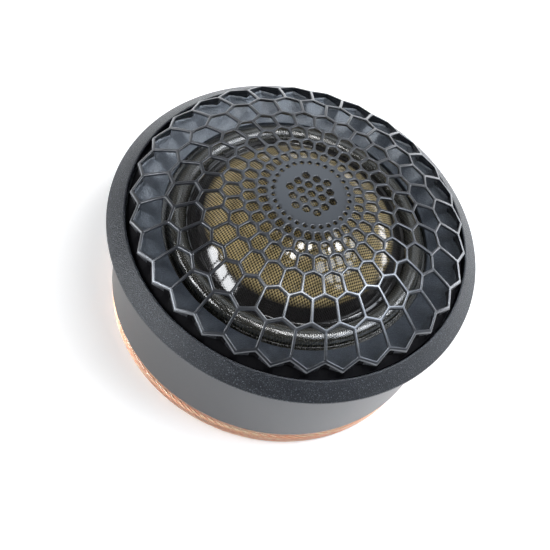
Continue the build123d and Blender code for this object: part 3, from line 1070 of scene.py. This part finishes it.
def routeLine(name, points):
    # the smooth line that follows a route, sampled from its own spline
    curve = bpy.data.curves.new(name, "CURVE")
    curve.dimensions = "3D"
    spline = curve.splines.new("NURBS")
    spline.points.add(len(points) - 1)
    for spot, point in zip(spline.points, points):
        spot.co = (*point, 1)
    spline.order_u = 3
    spline.use_endpoint_u = True
    spline.resolution_u = 12
    holder = bpy.data.objects.new(name, curve)
    bpy.context.collection.objects.link(holder)
    bpy.context.view_layer.update()
    line = bpy.data.meshes.new_from_object(holder)
    found = [v.co.copy() for v in line.vertices]
    bpy.data.objects.remove(holder)
    bpy.data.meshes.remove(line)
    return found


def evenly(line, step):
    # the same line with its points a step apart
    lengths = [0.0]
    for a, b in zip(line, line[1:]):
        lengths.append(lengths[-1] + (b - a).length)
    total = lengths[-1]
    count = max(round(total / step), 2)
    marks = np.linspace(0, total, count + 1)
    axes = [np.interp(marks, lengths, [p[i] for p in line]) for i in range(3)]
    return [Vector(p) for p in zip(*axes)], total


def frames(line):
    # each point with the way out from the axis and the way up
    result = []
    for i, point in enumerate(line):
        along = (line[min(i + 1, len(line) - 1)] - line[max(i - 1, 0)]).normalized()
        out = along.cross(Vector((0, 0, 1))).normalized()
        if out.dot(Vector((point.x, point.y, 0))) < 0:
            out = -out
        up = out.cross(along).normalized()
        if up.z < 0:
            up = -up
        result.append((point, out, up))
    return result


def sweep(places, section):
    # places: (point, out, up); section: (across, high) points
    points, count = [], len(section)
    for point, out, up in places:
        points += [point + out * x + up * y for x, y in section]
    faces = gridFaces(len(places), count, False, True)
    faces.append(tuple(range(count - 1, -1, -1)))
    faces.append(tuple((len(places) - 1) * count + i for i in range(count)))
    return points, faces


def twinSection(values):
    # two touching round cores with a narrow web, one above the other
    radius = values["core"] / 2
    first, last, step = values["coreTurns"]
    turns = [math.radians(degrees) for degrees in range(first, last + 1, step)]
    upper = [(radius * math.cos(a), radius + radius * math.sin(a)) for a in turns]
    return upper + [(-x, -y) for x, y in upper]


def strandSection(radius):
    return [(radius * math.cos(math.pi * i / 3), radius * math.sin(math.pi * i / 3)) for i in range(6)]


def makeLead(values):
    line = routeLine("leadRoute", leadRoute(values))
    line, length = evenly(line, values["step"])
    stations = frames(line)
    jacket = makePiece("leadJacket", *sweep(stations, twinSection(values)), "frame")
    parts = []
    for side in (-1, 1):
        for s in range(values["strandCount"]):
            places = []
            for k, (p, out, up) in enumerate(stations):
                gone = length * k / (len(stations) - 1)
                a = 2 * math.pi * (s / values["strandCount"] + gone / values["twist"])
                centre = p + up * side * values["core"] / 2
                arm = out * math.cos(a) + up * math.sin(a)
                places.append((centre + arm * values["bundle"], out, up))
            parts.append(sweep(places, strandSection(values["strand"])))
    strands = makePiece("copperStrands", *joinParts(parts), "frame")
    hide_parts("lead_coil")
    tuple(line[0])
    [tuple(p) for p in line]
    print("lead length", round(length, 4))


def strandFinish(values):
    # pale and deep lines along the winding: fast change across it, slow change round it
    finish = makeFinish("copperStrand", values["copper"], values["roughness"], Metallic=values["metal"])
    parts = addNode(finish, "ShaderNodeSeparateXYZ", [(0, place(finish))]).outputs
    square = maths(finish, "MULTIPLY", parts[1], parts[1])
    reach = maths(finish, "SQRT", maths(finish, "MULTIPLY_ADD", parts[0], parts[0], square))
    angle = maths(finish, "ARCTAN2", parts[1], parts[0])
    along = maths(finish, "MULTIPLY", angle, values["streakTurn"])
    spot = addNode(finish, "ShaderNodeCombineXYZ", [(0, reach), (1, parts[2]), (2, along)]).outputs[0]
    lines = spread(finish, grain(finish, values["streak"], 2, spot), *values["streaks"])
    wire(finish, blendColours(finish, lines, values["deepCopper"], values["copper"]), "Base Color")
    return finish


def jacketFinish(values):
    finish = makeFinish("clearJacket", values["jacketColour"], values["jacketRoughness"])
    shaderOf(finish).inputs["Transmission Weight"].default_value = values["jacketClear"]
    shaderOf(finish).inputs["IOR"].default_value = values["jacketIndex"]
    return finish


makeLead(leadSet)
dress("leadJacket", jacketFinish(leadSet))
dress("copperStrands", strandFinish(leadSet))
print("lead made")


# the rest, seen from below and behind

plainSet = {
    # node: name of its finish, colour, roughness, metal
    "chassis_ring": ("chassisPlastic", (0.02, 0.02, 0.022), 0.5, 0.0),
    "gasket_ring": ("foamSeal", (0.02, 0.02, 0.02), 0.9, 0.0),
    "voice_coil_former": ("formerFoil", (0.7, 0.7, 0.7), 0.3, 1.0),
    "voice_coil_winding": ("enamelledWire", (0.6, 0.25, 0.1), 0.35, 1.0),
    "yoke_pot": ("zincPlate", (0.55, 0.56, 0.58), 0.35, 1.0),
    "magnet": ("nickelPlate", (0.7, 0.68, 0.63), 0.2, 1.0),
    "pole_plate": ("zincPlatePole", (0.55, 0.56, 0.58), 0.35, 1.0),
    "shorting_cap": ("copperSheet", (0.8, 0.4, 0.27), 0.3, 1.0),
    "felt_pad": ("woolFelt", (0.1, 0.1, 0.1), 0.95, 0.0),
    "terminal_board": ("phenolicBoard", (0.2, 0.1, 0.04), 0.5, 0.0),
    "solder_lugs": ("tinnedBrass", (0.75, 0.7, 0.55), 0.3, 1.0),
    "rivets": ("rivetBrass", (0.75, 0.6, 0.35), 0.3, 1.0),
    "lead_out_braids": ("tinselBraid", (0.75, 0.4, 0.28), 0.35, 1.0),
    "solder_joints": ("solder", (0.7, 0.7, 0.72), 0.25, 1.0),
    "stripped_ends": ("bareStrands", (0.85, 0.45, 0.32), 0.3, 1.0),
    "lead_saddle": ("saddlePlastic", (0.02, 0.02, 0.022), 0.5, 0.0),
    "tinned_tips": ("tinnedStrands", (0.75, 0.72, 0.68), 0.3, 1.0),
}
for node, (title, colour, roughness, metal) in plainSet.items():
    material = satinFinish(title, colour, roughness)
    shaderOf(material).inputs["Metallic"].default_value = metal
    dress(node, material)
print("other finishes made")
